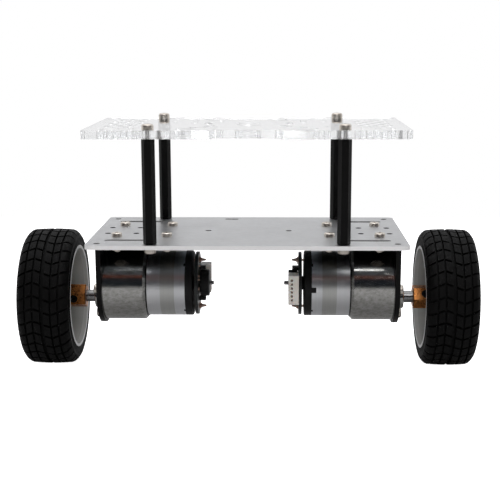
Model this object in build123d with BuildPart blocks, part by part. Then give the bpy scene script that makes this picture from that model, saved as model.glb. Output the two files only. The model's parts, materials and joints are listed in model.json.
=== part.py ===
"""Two wheel robot car: a plate and a clear deck on standoffs, with two gearmotors under the plate.

Frame: X runs along the axle (left is -X), the front is -Y, Z is up, and the origin is on the
floor under the middle of the car. The right drive unit is drawn in place, and the left one is
the same unit turned half a turn about Z.
"""
from build123d import *
import math
import os

os.makedirs("parts", exist_ok=True)

# ---------------------------------------------------------------- driving dimensions, mm
wheel_diameter = 69.0
wheel_width = 25.5
wheel_inner_face = 87.0            # distance of the tyre's inner sidewall from the centre plane
plate_length = 153.4
plate_depth = 82.4
plate_thickness = 2.0
plate_corner = 3.0
deck_thickness = 4.0
standoff_height = 50.0
shaft_offset = 7.0                 # the output shaft sits this far below the motor axis
shaft_radius = 3.0
boss_radius = 6.0
gearbox_diameter = 37.0
can_diameter = 33.0
bracket_thickness = 2.5
bracket_width = 40.0
bracket_length = 40.0
bracket_outer = 75.0               # distance of the bracket's outer face from the centre plane
foot_above_motor_axis = 25.0       # from the motor axis up to the plate's underside
coupling_hex = 10.5                # across flats
running_gap = 0.05                 # radial gap of a shaft in its bearing
seat_gap = 0.02                    # radial gap of pieces pressed or screwed together
edge_break = 0.4                   # bevel on turned edges

# heights
axle_height = wheel_diameter / 2
motor_height = axle_height + shaft_offset
plate_bottom = motor_height + foot_above_motor_axis
plate_top = plate_bottom + plate_thickness
deck_bottom = plate_top + standoff_height
deck_top = deck_bottom + deck_thickness
foot_bottom = plate_bottom - bracket_thickness

# distances from the centre plane along the axle, from the bracket inwards
gearbox_outer = bracket_outer - bracket_thickness
gearbox_inner = gearbox_outer - 21.9
gear_wall = 4.0                    # front wall of the gearbox
back_plate_thickness = 3.0
back_plate_outer = gearbox_inner + back_plate_thickness
can_inner = gearbox_inner - 19.0
cap_inner = can_inner - 3.7
board_outer = cap_inner - 1.1
board_inner = board_outer - 1.6
magnet_outer = board_inner - 0.6
magnet_inner = magnet_outer - 4.5
shaft_tip = magnet_inner - 2.2

# distances from the centre plane along the axle, from the bracket outwards
boss_end = bracket_outer + 3.4
coupling_inner = boss_end + 4.9
set_screw_place = coupling_inner + 6.1
shaft_end = coupling_inner + 8.7
wheel_outer_face = wheel_inner_face + wheel_width
wheel_middle = wheel_inner_face + wheel_width / 2

# centres of the turning pieces, as (y, z)
motor_axis = (0, motor_height)
output_axis = (0, axle_height)

# fasteners
m3_radius = 1.5
m3_clearance_radius = 1.6
m3_head_radius = 2.6
m3_head_height = 1.8
deck_head_radius = 2.85            # the standoffs' screws have bigger, taller heads
deck_head_height = 2.7
m3_nut_flats = 5.5
m3_nut_height = 2.4
m4_radius = 2.0

# hole places on the plate, as x and y from the middle
standoff_x, standoff_y = 45.8, 36.6
bracket_screw_x = (40.0, 64.7)
bracket_screw_y = 15.3
small_hole_x = (56.0, 70.2)
small_hole_y = 8.1
slot_y = 26.8
slot_from_x, slot_to_x = 45.5, 69.1
slot_width = 3.8
corner_hole_x, corner_hole_y = 71.4, 35.3
centre_hole_x = 20.3
rear_slot_x, rear_slot_y = -10.0, 35.0
rear_slot_length, rear_slot_width = 7.4, 3.2


def across(distance):
    """Plane square to the axle, with its local x to the back and its local y up."""
    return Plane.YZ.offset(distance)


def four_corners(x, y):
    """The four mirrored places of one hole."""
    return [(x, y), (-x, y), (x, -y), (-x, -y)]


# ---------------------------------------------------------------- lower plate
with BuildPart() as chassis_plate:
    with BuildSketch(Plane.XY.offset(plate_bottom)):
        RectangleRounded(plate_length, plate_depth, plate_corner)
        with Locations(*four_corners(standoff_x, standoff_y), *four_corners(corner_hole_x, corner_hole_y)):
            Circle(m3_clearance_radius, mode=Mode.SUBTRACT)
        for screw_x in bracket_screw_x:
            with Locations(*four_corners(screw_x, bracket_screw_y)):
                Circle(m3_clearance_radius, mode=Mode.SUBTRACT)
        for hole_x in small_hole_x:
            with Locations(*four_corners(hole_x, small_hole_y)):
                Circle(m3_radius, mode=Mode.SUBTRACT)
        with Locations((centre_hole_x, 0), (-centre_hole_x, 0)):
            Circle(m3_clearance_radius, mode=Mode.SUBTRACT)
        with Locations(*four_corners((slot_from_x + slot_to_x) / 2, slot_y)):
            SlotOverall(slot_to_x - slot_from_x, slot_width, mode=Mode.SUBTRACT)
        with Locations((rear_slot_x, rear_slot_y)):
            SlotOverall(rear_slot_length, rear_slot_width, mode=Mode.SUBTRACT)
    extrude(amount=plate_thickness)

# ---------------------------------------------------------------- clear top deck
deck_hole_radius = 1.6
deck_recess_width = 32.0
deck_recess_depth = 4.5
deck_recess_corner = 1.5
deck_centre_radius = 6.5
board_hole_x, board_hole_y = 38.0, 16.0
field_x = 61.5                     # middle of the field of small holes at each end
field_hole_radius = 1.5
field_pitch_x, field_pitch_y = 7.0, 14.0
# slots of the right half, as (x, y, length, width, turn)
deck_slots = (
    (20.0, 2.0, 10.0, 4.0, 90),
    (27.5, 14.0, 14.0, 3.2, 90),
    (24.2, -21.5, 26.0, 3.2, -44),
    (18.5, 24.5, 13.0, 3.2, 38),
)
with BuildPart() as top_deck:
    with BuildSketch(Plane.XY.offset(deck_bottom)) as deck_outline:
        RectangleRounded(plate_length, plate_depth, plate_corner)
        with Locations((0, plate_depth / 2), (0, -plate_depth / 2)):
            Rectangle(deck_recess_width, 2 * deck_recess_depth, mode=Mode.SUBTRACT)
        recess_corners = deck_outline.vertices().filter_by_position(
            Axis.X, -deck_recess_width / 2 - 1, deck_recess_width / 2 + 1
        )
        fillet(recess_corners, deck_recess_corner)
        Circle(deck_centre_radius, mode=Mode.SUBTRACT)
        with Locations(*four_corners(standoff_x, standoff_y), *four_corners(board_hole_x, board_hole_y)):
            Circle(deck_hole_radius, mode=Mode.SUBTRACT)
        for side in (-1, 1):
            for x, y, length, width, turn in deck_slots:
                with Locations((side * x, y)):
                    SlotOverall(length, width, rotation=side * turn, mode=Mode.SUBTRACT)
            with Locations((side * field_x, 0)):
                with GridLocations(field_pitch_x, field_pitch_y, 3, 5):
                    Circle(field_hole_radius, mode=Mode.SUBTRACT)
                with GridLocations(field_pitch_x, field_pitch_y, 2, 4):
                    Circle(field_hole_radius, mode=Mode.SUBTRACT)
    extrude(amount=deck_thickness)


# ---------------------------------------------------------------- standoffs and their screws
standoff_flats = 5.5
standoff_places = {
    "front_left": (-standoff_x, -standoff_y),
    "front_right": (standoff_x, -standoff_y),
    "rear_left": (-standoff_x, standoff_y),
    "rear_right": (standoff_x, standoff_y),
}
for place_name, place in standoff_places.items():
    with BuildPart() as standoff:
        with BuildSketch(Plane.XY.offset(plate_top)):
            with Locations(place):
                RegularPolygon(standoff_flats / 2, 6, major_radius=False)
                Circle(m3_radius + seat_gap, mode=Mode.SUBTRACT)
        extrude(amount=standoff_height)
        chamfer(
            standoff.edges().filter_by(GeomType.LINE).group_by(Axis.Z)[0]
            + standoff.edges().filter_by(GeomType.LINE).group_by(Axis.Z)[-1],
            0.3,
        )
    standoff.part.label = f"{place_name}_standoff"
    export_step(standoff.part, f"parts/{place_name}_standoff.step")


def cross_recess(seat, depth, width):
    """Cross-shaped driver recess cut into the current part from the seat plane inwards."""
    with BuildSketch(seat) as recess:
        Rectangle(width, width / 4)
        Rectangle(width / 4, width)
    extrude(recess.sketch, amount=-depth, mode=Mode.SUBTRACT)


def pan_screw(seat, head_radius, head_height, shank_radius, shank_length):
    """Pan-head screw whose head stands on the seat plane and whose shank runs behind it."""
    crown = head_height * 0.4
    with BuildPart(mode=Mode.PRIVATE) as screw:
        with BuildSketch(Plane.XZ):
            with BuildLine():
                Polyline(
                    (0, -shank_length),
                    (shank_radius - 0.3, -shank_length),
                    (shank_radius, 0.3 - shank_length),
                    (shank_radius, 0),
                    (head_radius, 0),
                    (head_radius, head_height - crown),
                )
                RadiusArc((head_radius, head_height - crown), (head_radius - crown, head_height), -crown)
                Polyline((head_radius - crown, head_height), (0, head_height), (0, -shank_length))
            make_face()
        revolve(axis=Axis.Z)
        cross_recess(Plane.XY.offset(head_height), head_height * 0.55, head_radius * 1.05)
    return seat.location * screw.part


def hex_nut(base):
    """M3 nut standing on the base plane."""
    with BuildPart(mode=Mode.PRIVATE) as nut:
        with BuildSketch():
            RegularPolygon(m3_nut_flats / 2, 6, major_radius=False)
            Circle(m3_radius + seat_gap, mode=Mode.SUBTRACT)
        extrude(amount=m3_nut_height)
    return base.location * nut.part


standoff_screw_length = 8.0
with BuildPart() as standoff_screws:
    for x, y in four_corners(standoff_x, standoff_y):
        deck_seat = Plane((x, y, deck_top))
        plate_seat = Plane((x, y, plate_bottom), z_dir=(0, 0, -1))
        for seat in (deck_seat, plate_seat):
            add(pan_screw(seat, deck_head_radius, deck_head_height, m3_radius, standoff_screw_length))

# ---------------------------------------------------------------- motor brackets and screws
bracket_screw_length = 8.0
face_screw_circle = 31.0           # pitch circle of the six gearbox screws
face_screw_turns = (180, 240, 300, 0)    # the two holes nearest the plate stay empty
face_screw_length = 5.5
face_screw_depth = 3.5             # depth of the threaded holes in the gearbox face
bracket_boss_hole = 6.3
with BuildPart() as motor_bracket:
    with BuildSketch(across(gearbox_outer)):
        with Locations((0, (motor_height + plate_bottom) / 2)):
            Rectangle(bracket_width, plate_bottom - motor_height)
        with Locations(motor_axis):
            Circle(bracket_width / 2)
            with PolarLocations(face_screw_circle / 2, 6):
                Circle(m3_clearance_radius, mode=Mode.SUBTRACT)
        with Locations(output_axis):
            Circle(bracket_boss_hole, mode=Mode.SUBTRACT)
    extrude(amount=bracket_thickness)
    with BuildSketch(Plane.XY.offset(foot_bottom)):
        with Locations((bracket_outer - bracket_length / 2, 0)):
            RectangleRounded(bracket_length, bracket_width, 3)
        with Locations((bracket_outer - bracket_length / 4, 0)):
            Rectangle(bracket_length / 2, bracket_width)
    extrude(amount=bracket_thickness)
    outer_bend = motor_bracket.edges().filter_by(Axis.Y).filter_by_position(
        Axis.X, bracket_outer - 0.1, bracket_outer + 0.1
    )
    fillet(outer_bend.sort_by(Axis.Z)[-1], 2.2)
    inner_bend = motor_bracket.edges().filter_by(Axis.Y).filter_by_position(
        Axis.X, gearbox_outer - 0.1, gearbox_outer + 0.1
    )
    fillet(inner_bend.sort_by(Axis.Z)[-1], 0.8)
    for screw_x in bracket_screw_x:
        with Locations((screw_x, bracket_screw_y, foot_bottom), (screw_x, -bracket_screw_y, foot_bottom)):
            Cylinder(m3_clearance_radius, 3 * bracket_thickness, mode=Mode.SUBTRACT)

with BuildPart() as bracket_screws:
    for screw_x in bracket_screw_x:
        for x, y in four_corners(screw_x, bracket_screw_y):
            seat = Plane((x, y, plate_top))
            add(pan_screw(seat, m3_head_radius, m3_head_height, m3_radius, bracket_screw_length))

with BuildPart() as bracket_nuts:
    for screw_x in bracket_screw_x:
        for x, y in four_corners(screw_x, bracket_screw_y):
            add(hex_nut(Plane((x, y, foot_bottom - m3_nut_height))))

with BuildPart() as gearbox_screws:
    for side in (-1, 1):
        for turn in face_screw_turns:
            y = face_screw_circle / 2 * math.cos(math.radians(turn))
            z = motor_height + face_screw_circle / 2 * math.sin(math.radians(turn))
            seat = Plane((side * bracket_outer, y, z), z_dir=(side, 0, 0))
            add(pan_screw(seat, m3_head_radius, m3_head_height, m3_radius, face_screw_length))

# ---------------------------------------------------------------- gear train layout
gear_module = 0.5
pinion_teeth = 10
cluster_teeth = 27
output_teeth = 34
gear_pin_radius = 1.0
tooth_tip_height = 0.42
tooth_root_depth = 0.62
tooth_foot = 0.15                  # how far a tooth reaches into the gear's body
tooth_half_widths = (0.46, 0.31, 0.16)   # at the foot, at the pitch circle and at the tip
cluster_distance = gear_module * (pinion_teeth + cluster_teeth) / 2
output_distance = gear_module * (pinion_teeth + output_teeth) / 2
second_gear_bearing = math.radians(102)

second_axis = (
    output_distance * math.cos(second_gear_bearing),
    axle_height + output_distance * math.sin(second_gear_bearing),
)
span_y = second_axis[0] - motor_axis[0]
span_z = second_axis[1] - motor_axis[1]
span = math.hypot(span_y, span_z)
apex_height = math.sqrt(cluster_distance**2 - (span / 2) ** 2)
first_axis = (
    motor_axis[0] + span_y / 2 + apex_height * span_z / span,
    motor_axis[1] + span_z / 2 - apex_height * span_y / span,
)

# the three layers of gears, from the motor outwards, as (from, to)
wheel_face = 3.0                   # width of the two gear wheels on pins
output_face = 5.0                  # width of the output gear
layer_gap = 0.8
first_from = back_plate_outer + 1.0
first_layer = (first_from, first_from + wheel_face)
second_from = first_layer[1] + layer_gap
second_layer = (second_from, second_from + wheel_face)
third_from = second_layer[1] + layer_gap + 0.2
third_layer = (third_from, third_from + output_face)
pin_gap = 0.6                      # play at the ends of the gear clusters
gear_case_end = gearbox_outer - gear_wall


def bearing_of(start, end):
    """Direction from one gear centre to another, in degrees."""
    return math.degrees(math.atan2(end[1] - start[1], end[0] - start[0]))


def meshing_phase(phase, teeth, line, other_teeth):
    """Phase of the gear that meshes with the given one across a line of centres, in degrees."""
    offset = (phase - line) * teeth / 360
    return line + 180 - (offset + 0.5) * 360 / other_teeth


motor_pinion_phase = 0.0
first_wheel_phase = meshing_phase(
    motor_pinion_phase, pinion_teeth, bearing_of(motor_axis, first_axis), cluster_teeth
)
first_pinion_phase = 0.0
second_wheel_phase = meshing_phase(
    first_pinion_phase, pinion_teeth, bearing_of(first_axis, second_axis), cluster_teeth
)
second_pinion_phase = 0.0
output_gear_phase = meshing_phase(
    second_pinion_phase, pinion_teeth, bearing_of(second_axis, output_axis), output_teeth
)


def spur_gear(centre, teeth, phase, bore):
    """Spur gear outline with slim straight-sided teeth, drawn in the current sketch."""
    pitch_radius = gear_module * teeth / 2
    foot = -tooth_root_depth - tooth_foot
    foot_half, pitch_half, tip_half = tooth_half_widths
    with Locations(centre):
        Circle(pitch_radius - tooth_root_depth)
        with PolarLocations(pitch_radius, teeth, start_angle=phase):
            Polygon(
                (foot, -foot_half),
                (0, -pitch_half),
                (tooth_tip_height, -tip_half),
                (tooth_tip_height, tip_half),
                (0, pitch_half),
                (foot, foot_half),
                align=None,
            )
        Circle(bore, mode=Mode.SUBTRACT)


def layer_gear(layer, centre, teeth, phase, bore):
    """Spur gear between the two distances of a layer, added to the current part."""
    with BuildSketch(across(layer[0])) as outline:
        spur_gear(centre, teeth, phase, bore)
    extrude(outline.sketch, amount=layer[1] - layer[0])


# ---------------------------------------------------------------- gearbox
gearbox_wall = 1.5
output_bush_radius = 4.5
rear_journal_radius = 2.0
can_boss_radius = 3.0
pin_seat_depth = 2.0
back_plate_bevel = 1.8
gear_centres = (first_axis, second_axis)
with BuildPart() as gearbox_housing:
    with BuildSketch(across(back_plate_outer)):
        with Locations(motor_axis):
            Circle(gearbox_diameter / 2)
    extrude(amount=gearbox_outer - back_plate_outer)
    with BuildSketch(across(gearbox_outer)):
        with Locations(output_axis):
            Circle(boss_radius)
    extrude(amount=boss_end - gearbox_outer)
    chamfer(gearbox_housing.edges().group_by(Axis.X)[-1], edge_break)
    with BuildSketch(across(back_plate_outer)):
        with Locations(motor_axis):
            Circle(gearbox_diameter / 2 - gearbox_wall)
    extrude(amount=gear_case_end - back_plate_outer, mode=Mode.SUBTRACT)
    with BuildSketch(across(gear_case_end)):
        with Locations(output_axis):
            Circle(output_bush_radius + seat_gap)
    extrude(amount=boss_end - gear_case_end, mode=Mode.SUBTRACT)
    with BuildSketch(across(gear_case_end)):
        with Locations(*gear_centres):
            Circle(gear_pin_radius + seat_gap)
    extrude(amount=pin_seat_depth, mode=Mode.SUBTRACT)
    with BuildSketch(across(gearbox_outer)):
        with Locations(motor_axis):
            with PolarLocations(face_screw_circle / 2, 6):
                Circle(m3_radius + seat_gap)
    extrude(amount=-face_screw_depth, mode=Mode.SUBTRACT)

with BuildPart() as gearbox_back_plate:
    with BuildSketch(across(gearbox_inner)):
        with Locations(motor_axis):
            Circle(gearbox_diameter / 2)
            Circle(can_boss_radius + seat_gap, mode=Mode.SUBTRACT)
        with Locations(output_axis):
            Circle(rear_journal_radius + running_gap, mode=Mode.SUBTRACT)
    extrude(amount=back_plate_thickness)
    rim_edges = gearbox_back_plate.edges().filter_by(GeomType.CIRCLE).group_by(SortBy.RADIUS)[-1]
    chamfer(rim_edges.sort_by(Axis.X)[0], back_plate_bevel)
    with BuildSketch(across(back_plate_outer)):
        with Locations(*gear_centres):
            Circle(gear_pin_radius + seat_gap)
    extrude(amount=-pin_seat_depth, mode=Mode.SUBTRACT)

with BuildPart() as output_bush:
    with BuildSketch(across(gear_case_end)):
        with Locations(output_axis):
            Circle(output_bush_radius)
            Circle(shaft_radius + running_gap, mode=Mode.SUBTRACT)
    extrude(amount=boss_end - gear_case_end)

with BuildPart() as gear_pins:
    pin_from = back_plate_outer - pin_seat_depth
    pin_to = gear_case_end + pin_seat_depth
    for side in (-1, 1):
        with BuildSketch(across(side * pin_from)):
            with Locations(*[(side * y, z) for y, z in gear_centres]):
                Circle(gear_pin_radius)
        extrude(amount=side * (pin_to - pin_from))

with BuildPart() as first_gear:
    layer_gear(first_layer, first_axis, cluster_teeth, first_wheel_phase, gear_pin_radius + running_gap)
    pinion_span = (first_layer[1], second_layer[1] + pin_gap)
    layer_gear(pinion_span, first_axis, pinion_teeth, first_pinion_phase, gear_pin_radius + running_gap)

with BuildPart() as second_gear:
    layer_gear(second_layer, second_axis, cluster_teeth, second_wheel_phase, gear_pin_radius + running_gap)
    pinion_span = (second_layer[1], third_layer[1] + pin_gap)
    layer_gear(pinion_span, second_axis, pinion_teeth, second_pinion_phase, gear_pin_radius + running_gap)

with BuildPart() as output_gear:
    layer_gear(third_layer, output_axis, output_teeth, output_gear_phase, shaft_radius + seat_gap)

# ---------------------------------------------------------------- motor
motor_shaft_radius = 1.0
can_wall = 1.2
can_radius = can_diameter / 2
cap_tab_width = 2.7
cap_tab_length = 2.2
cap_nub_width = 1.6
cap_nub_length = 0.7
terminal_offset = 12.0
terminal_width = 2.0
terminal_thickness = 0.8
terminal_slot_width = terminal_width + 0.1
terminal_slot_height = terminal_thickness + 0.1


def cap_tab_places(width):
    """Rectangle over the one place where the cap's tab goes through the can's wall."""
    with Locations((-can_radius + can_wall / 2, motor_height)):
        Rectangle(2 * can_wall, width)


def cap_nub_places(width):
    """Rectangles over the four places where the can's edge is crimped over the cap."""
    with Locations(motor_axis):
        with PolarLocations(can_radius - can_wall / 2, 4, start_angle=45):
            Rectangle(2 * can_wall, width)


with BuildPart() as motor_can:
    with BuildSketch(across(can_inner)):
        with Locations(motor_axis):
            Circle(can_radius)
    extrude(amount=gearbox_inner - can_inner)
    with BuildSketch(across(gearbox_inner)):
        with Locations(motor_axis):
            Circle(can_boss_radius)
    extrude(amount=back_plate_thickness - 0.8)
    with BuildSketch(across(can_inner)):
        with Locations(motor_axis):
            Circle(can_radius - can_wall)
    extrude(amount=gearbox_inner - can_wall - can_inner, mode=Mode.SUBTRACT)
    with BuildSketch(across(can_inner)):
        cap_tab_places(cap_tab_width + 2 * seat_gap)
    extrude(amount=cap_tab_length + seat_gap, mode=Mode.SUBTRACT)
    with BuildSketch(across(can_inner)):
        cap_nub_places(cap_nub_width + 2 * seat_gap)
    extrude(amount=cap_nub_length + seat_gap, mode=Mode.SUBTRACT)
    with BuildSketch(across(can_inner)):
        with Locations(motor_axis):
            Circle(motor_shaft_radius + running_gap)
    extrude(amount=gearbox_inner + back_plate_thickness - can_inner, mode=Mode.SUBTRACT)

stator_from = can_inner + 3
stator_length = 13.0
stator_bore_radius = 12.8
stator_split = 9.0                 # height of the gap between the two magnets
with BuildPart() as stator_magnets:
    with BuildSketch(across(stator_from)):
        with Locations(motor_axis):
            Circle(can_radius - can_wall - seat_gap)
            Circle(stator_bore_radius, mode=Mode.SUBTRACT)
            Rectangle(2 * can_radius, stator_split, mode=Mode.SUBTRACT)
    extrude(amount=stator_length)

with BuildPart() as motor_end_cap:
    with BuildSketch(across(cap_inner)):
        with Locations(motor_axis):
            Circle(can_radius)
    extrude(amount=can_inner - cap_inner)
    chamfer(motor_end_cap.edges().filter_by(GeomType.CIRCLE).group_by(Axis.X)[0], 0.5)
    for draw_places, width, length in (
        (cap_tab_places, cap_tab_width, cap_tab_length),
        (cap_nub_places, cap_nub_width, cap_nub_length),
    ):
        with BuildSketch(across(can_inner)) as tabs:
            draw_places(width)
            with Locations(motor_axis):
                Circle(can_radius, mode=Mode.INTERSECT)
                Circle(can_radius - can_wall, mode=Mode.SUBTRACT)
        extrude(amount=length)
    with BuildSketch(across(cap_inner + 1.5)):
        with Locations(motor_axis):
            Circle(can_radius - 2)
    extrude(amount=can_inner - cap_inner, mode=Mode.SUBTRACT)
    with BuildSketch(across(board_outer)):
        with Locations(motor_axis):
            Circle(3.5)
    extrude(amount=cap_inner + 3 - board_outer)
    with BuildSketch(across(board_outer)):
        with Locations(motor_axis):
            Circle(motor_shaft_radius + running_gap)
            with Locations((0, terminal_offset), (0, -terminal_offset)):
                Rectangle(terminal_slot_width, terminal_slot_height)
    extrude(amount=can_inner, mode=Mode.SUBTRACT)

commutator_radius = 3.2
commutator_from = can_inner + 0.6
winding_from = can_inner + 3
winding_to = gearbox_inner - can_wall - 1
core_from = winding_from + 2.2
core_to = winding_to - 1.6
core_radius = 12.3
core_poles = 5
core_slot_from = 6.0
core_slot_width = 2.2
winding_radius = 9.2
with BuildPart() as armature:
    with BuildSketch(across(core_from)):
        with Locations(motor_axis):
            Circle(core_radius)
            with PolarLocations((core_slot_from + core_radius + 0.7) / 2, core_poles):
                Rectangle(core_radius + 0.7 - core_slot_from, core_slot_width, mode=Mode.SUBTRACT)
    extrude(amount=core_to - core_from)
    with BuildSketch(across(winding_from)):
        with Locations(motor_axis):
            Circle(winding_radius)
    extrude(amount=winding_to - winding_from)
    with BuildSketch(across(commutator_from)):
        with Locations(motor_axis):
            Circle(commutator_radius)
    extrude(amount=winding_from - commutator_from)
    with BuildSketch(across(commutator_from)):
        with Locations(motor_axis):
            Circle(motor_shaft_radius + seat_gap)
    extrude(amount=winding_to - commutator_from, mode=Mode.SUBTRACT)

brush_reach = commutator_radius + running_gap
brush_width = 3.0
brush_length = 1.6                 # along the shaft
terminal_inside = terminal_offset - terminal_thickness / 2
with BuildPart() as brushes:
    with BuildSketch(across(commutator_from + 0.3)):
        for side in (-1, 1):
            with Locations((0, motor_height + side * (brush_reach + terminal_inside) / 2)):
                Rectangle(brush_width, terminal_inside - brush_reach)
    extrude(amount=brush_length)

with BuildPart() as motor_shaft:
    with BuildSketch(across(shaft_tip)):
        with Locations(motor_axis):
            Circle(motor_shaft_radius)
    extrude(amount=first_layer[1] + 0.2 - shaft_tip)
    chamfer(motor_shaft.edges().group_by(Axis.X)[0], 0.25)

with BuildPart() as motor_pinion:
    pinion_span = (first_layer[0], first_layer[1] + 0.2)
    layer_gear(pinion_span, motor_axis, pinion_teeth, motor_pinion_phase, motor_shaft_radius + seat_gap)

# ---------------------------------------------------------------- encoder
board_radius = 16.0
magnet_radius = 6.75
connector_height = 14.8
connector_thickness = 5.2
connector_front = -17.2
connector_back = -9.4
connector_from = board_inner - connector_thickness
contact_pitch = 2.0
contact_hole = 1.1
contact_hole_depth = 5.0
contact_size = 0.5
contact_recess = 0.8               # the contacts end this far inside the connector's face
contact_x = connector_from + 1.7
contact_rows = [motor_height + contact_pitch * (row - 2.5) for row in range(6)]
solder_reach = 3.4
# the hollow flank of a solder cone, as (distance from the board, radius)
solder_flank = ((0.0, 2.0), (0.5, 1.5), (1.4, 0.85), (solder_reach, 0.45))
sensor_width = 4.0
sensor_thickness = 1.8
sensor_length = 3.2
sensor_distance = magnet_radius + 0.35 + sensor_thickness / 2
sensor_bearings = (-90, 97)
with BuildPart() as encoder_board:
    with BuildSketch(across(board_inner)):
        with Locations(motor_axis):
            Circle(board_radius)
            Circle(motor_shaft_radius + 0.6, mode=Mode.SUBTRACT)
            with Locations((0, terminal_offset), (0, -terminal_offset)):
                Rectangle(terminal_slot_width, terminal_slot_height, mode=Mode.SUBTRACT)
    extrude(amount=board_outer - board_inner)

with BuildPart() as motor_terminals:
    for side in (-1, 1):
        for height in (motor_height - terminal_offset, motor_height + terminal_offset):
            with BuildSketch(across(side * board_inner)) as tag:
                with Locations((0, height)):
                    Rectangle(terminal_width, terminal_thickness)
            extrude(tag.sketch, amount=side * (commutator_from + 1.9 - board_inner))
            with BuildSketch(Plane.XZ) as solder:
                with BuildLine():
                    Polyline(
                        (side * (board_inner - solder_reach), height),
                        (side * board_inner, height),
                        *[(side * (board_inner - reach), height + radius) for reach, radius in solder_flank],
                        close=True,
                    )
                make_face()
            revolve(solder.sketch, axis=Axis((0, 0, height), (1, 0, 0)))

with BuildPart() as hall_sensors:
    for side in (-1, 1):
        with BuildSketch(across(side * board_inner)):
            with Locations(motor_axis):
                for bearing in sensor_bearings:
                    turn = bearing if side > 0 else 180 - bearing
                    with PolarLocations(sensor_distance, 1, start_angle=turn):
                        RectangleRounded(sensor_thickness, sensor_width, 0.3)
        extrude(amount=-side * sensor_length)

with BuildPart() as encoder_magnet:
    with BuildSketch(across(magnet_inner)):
        with Locations(motor_axis):
            Circle(magnet_radius)
            Circle(motor_shaft_radius + seat_gap, mode=Mode.SUBTRACT)
    extrude(amount=magnet_outer - magnet_inner)
    chamfer(encoder_magnet.edges().filter_by(GeomType.CIRCLE).sort_by(SortBy.RADIUS)[-2:], 0.3)

with BuildPart() as encoder_connector:
    with BuildSketch(Plane.XZ.offset(-connector_back)):
        with Locations((board_inner - connector_thickness / 2, motor_height)):
            Rectangle(connector_thickness, connector_height)
    extrude(amount=connector_back - connector_front)
    chamfer(encoder_connector.faces().sort_by(Axis.Y)[0].edges(), 0.25)
    with BuildSketch(Plane.XZ.offset(-connector_front)):
        with Locations(*[(contact_x, row) for row in contact_rows]):
            Rectangle(contact_hole, contact_hole)
    extrude(amount=-contact_hole_depth, mode=Mode.SUBTRACT)

with BuildPart() as connector_pins:
    contact_length = contact_hole_depth - contact_recess
    for side in (-1, 1):
        contact_middle = side * (connector_front + contact_recess + contact_length / 2)
        with Locations(*[(side * contact_x, contact_middle, row) for row in contact_rows]):
            Box(contact_size, contact_length, contact_size)

# ---------------------------------------------------------------- output shaft and hub coupling
flat_depth = 0.5                   # the set screw stands on this flat, inside the coupling
flat_from = coupling_inner + 1.0
coupling_end = wheel_inner_face + 17.5
screw_hole_from = shaft_end + 3
with BuildPart() as output_shaft:
    with BuildSketch(across(gearbox_inner + 0.6)):
        with Locations(output_axis):
            Circle(rear_journal_radius)
    extrude(amount=back_plate_thickness)
    with BuildSketch(across(back_plate_outer + 0.6)):
        with Locations(output_axis):
            Circle(shaft_radius)
    extrude(amount=shaft_end - back_plate_outer - 0.6)
    chamfer(output_shaft.edges().group_by(Axis.X)[-1], edge_break)
    with BuildSketch(across(flat_from)):
        with Locations((-shaft_radius - 1 + flat_depth, axle_height)):
            Rectangle(2, 2 * shaft_radius)
    extrude(amount=shaft_end - flat_from, mode=Mode.SUBTRACT)

with BuildPart() as hub_coupling:
    with BuildSketch(across(coupling_inner)):
        with Locations(output_axis):
            RegularPolygon(coupling_hex / 2, 6, major_radius=False, rotation=30)
    extrude(amount=coupling_end - coupling_inner)
    end_edges = hub_coupling.edges().filter_by(GeomType.LINE)
    chamfer(end_edges.group_by(Axis.X)[0] + end_edges.group_by(Axis.X)[-1], edge_break)
    with BuildSketch(across(coupling_inner)):
        with Locations(output_axis):
            Circle(shaft_radius + seat_gap)
    extrude(amount=shaft_end + 0.5 - coupling_inner, mode=Mode.SUBTRACT)
    with BuildSketch(across(screw_hole_from)):
        with Locations(output_axis):
            Circle(m4_radius + seat_gap)
    extrude(amount=coupling_end - screw_hole_from, mode=Mode.SUBTRACT)
    with BuildSketch(Plane.XZ):
        with Locations((set_screw_place, axle_height)):
            Circle(m4_radius + seat_gap)
    extrude(amount=coupling_hex, mode=Mode.SUBTRACT)

set_screw_face = coupling_hex / 2 - 0.15
set_screw_end = shaft_radius - flat_depth + seat_gap
with BuildPart() as set_screw:
    with BuildSketch(Plane.XZ.offset(set_screw_end)):
        with Locations((set_screw_place, axle_height)):
            Circle(m4_radius)
    extrude(amount=set_screw_face - set_screw_end)
    with BuildSketch(Plane.XZ.offset(set_screw_face)):
        with Locations((set_screw_place, axle_height)):
            RegularPolygon(1.0, 6, major_radius=False)
    extrude(amount=-1.6, mode=Mode.SUBTRACT)

# ---------------------------------------------------------------- wheel
rim_lip_radius = 26.0
rim_seat_radius = 25.0
rim_mouth_radius = 24.4
rim_bore_radius = 23.0
lip_width = 1.5
hub_radius = 8.5
hub_from = wheel_inner_face + 11
web_from = wheel_inner_face + 14.5
web_thickness = 3.5
hub_end = wheel_inner_face + 20.5
spoke_count = 6
window_from = 10.6                 # the windows between the spokes, from the axle outwards
window_reach = 10.6
window_inner_half = 2.4
window_outer_half = 7.6
tread_radius = wheel_diameter / 2
shoulder_radius = 31.3


def revolved_about_axle(points):
    """Ring with the given (distance, radius) profile, turned about the axle."""
    with BuildSketch(Plane.XZ) as profile:
        with BuildLine():
            Polyline(*[(distance, axle_height + radius) for distance, radius in points], close=True)
        make_face()
    revolve(profile.sketch, axis=Axis((0, 0, axle_height), (1, 0, 0)))


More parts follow.
